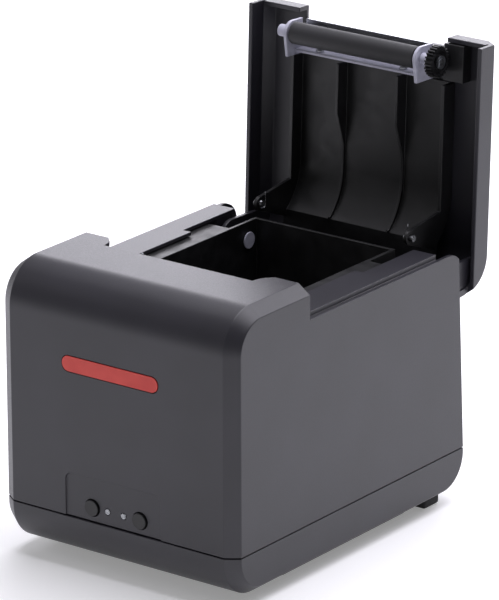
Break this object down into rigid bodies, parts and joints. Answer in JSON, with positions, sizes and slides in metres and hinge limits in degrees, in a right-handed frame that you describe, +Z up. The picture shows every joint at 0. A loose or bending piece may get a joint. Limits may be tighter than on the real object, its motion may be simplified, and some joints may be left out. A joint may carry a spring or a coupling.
{
  "type": "receipt printer",
  "caption": "Desktop receipt printer with its lid swung open, showing the paper compartment, platen roller, print head, cutter, front buttons and rear sockets.",
  "frame": {"origin": "middle of the footprint with the lid open, at the underside of the feet", "axes": "+Z up, -Y towards the front face with the buttons, +X to the right seen from the front"},
  "size_m": [0.145, 0.223, 0.2368],
  "materials": {
    "case_plastic": "fine spark-eroded texture, matte charcoal ABS",
    "black_plastic": "matte black ABS",
    "gear_plastic": "satin black acetal",
    "light_plastic": "satin light grey acetal",
    "bright_steel": "ground steel",
    "zinc_steel": "zinc plated sheet",
    "alloy": "extruded aluminium",
    "rubber": "ground rubber",
    "board_green": "solder mask",
    "ceramic": "glazed ceramic",
    "mark_red": "printed ink",
    "lens_clear": "milky lens",
    "label_grey": "blank printed film"
  },
  "bodies": {
    "case": {"upper_housing": "case_plastic", "base_tray": "case_plastic", "connector_plate": "black_plastic", "paper_bucket": "black_plastic", "cutter_frame": "black_plastic", "cutter_gearbox": "black_plastic", "power_inlet": "black_plastic", "drawer_port": "black_plastic", "paper_sensor": "black_plastic", "front_mark": "mark_red", "power_switch": "bright_steel", "feed_switch": "bright_steel", "stepper_motor": "bright_steel", "idler_axle": "bright_steel", "head_pin": "bright_steel", "head_spring_left": "bright_steel", "head_spring_right": "bright_steel", "tear_bar": "bright_steel", "cutter_motor": "bright_steel", "usb_port": "bright_steel", "network_port": "bright_steel", "hinge_pin_left": "bright_steel", "hinge_pin_right": "bright_steel", "mechanism_frame": "zinc_steel", "case_screw_1": "zinc_steel", "case_screw_2": "zinc_steel", "case_screw_3": "zinc_steel", "case_screw_4": "zinc_steel", "power_lens": "lens_clear", "error_lens": "lens_clear", "panel_board": "board_green", "main_board": "board_green", "near_end_sensor": "light_plastic", "foot_1": "rubber", "foot_2": "rubber", "foot_3": "rubber", "foot_4": "rubber", "rating_label": "label_grey"},
    "lid": {"lid_shell": "case_plastic", "paper_guide": "black_plastic", "platen_bracket": "light_plastic", "fixed_blade": "bright_steel", "gear_guard": "black_plastic", "platen_bush_left": "light_plastic", "platen_bush_right": "light_plastic", "bracket_screw_1": "zinc_steel", "bracket_screw_2": "zinc_steel", "stop_pin_left": "bright_steel", "stop_pin_right": "bright_steel"},
    "platen": {"platen_shaft": "bright_steel", "platen_sleeve": "rubber", "platen_gear": "gear_plastic", "shaft_clip": "zinc_steel"},
    "power_button": {"power_button": "black_plastic"},
    "feed_button": {"feed_button": "black_plastic"},
    "cutter_blade": {"cutter_blade": "bright_steel"},
    "print_head": {"heat_sink": "alloy", "print_head": "ceramic"},
    "drive_idler": {"drive_idler": "gear_plastic"},
    "motor_pinion": {"motor_pinion": "zinc_steel"}
  },
  "joints": [
    {"name": "lid_hinge", "type": "hinge", "parent": "case", "child": "lid", "pos_m": [0, 0.0714, 0.117], "axis": [1, 0, 0], "range_deg": [0, 92.2]},
    {"name": "platen_spin", "type": "hinge", "parent": "lid", "child": "platen", "pos_m": [0, 0.09192, 0.22669], "axis": [1, 0, 0], "continuous": true},
    {"name": "power_button_press", "type": "slide", "parent": "case", "child": "power_button", "axis": [0, 1, 0], "range_m": [0, 0.0008], "stiffness_N_per_m": 300},
    {"name": "feed_button_press", "type": "slide", "parent": "case", "child": "feed_button", "axis": [0, 1, 0], "range_m": [0, 0.0008], "stiffness_N_per_m": 300},
    {"name": "cutter_stroke", "type": "slide", "parent": "case", "child": "cutter_blade", "axis": [0, 1, 0], "range_m": [0, 0.005]},
    {"name": "head_pivot", "type": "hinge", "parent": "case", "child": "print_head", "pos_m": [0, -0.0521, 0.12], "axis": [1, 0, 0], "range_deg": [0, 3], "stiffness_Nm_per_rad": 2, "springref_deg": -5.73},
    {"name": "idler_spin", "type": "hinge", "parent": "case", "child": "drive_idler", "pos_m": [0, -0.04727, 0.11707], "axis": [1, 0, 0], "continuous": true},
    {"name": "pinion_spin", "type": "hinge", "parent": "case", "child": "motor_pinion", "pos_m": [0, -0.04611, 0.10382], "axis": [1, 0, 0], "continuous": true}
  ],
  "couplings": [
    {"joint": "pinion_spin", "follows": "idler_spin", "ratio": -2.1429}
  ]
}
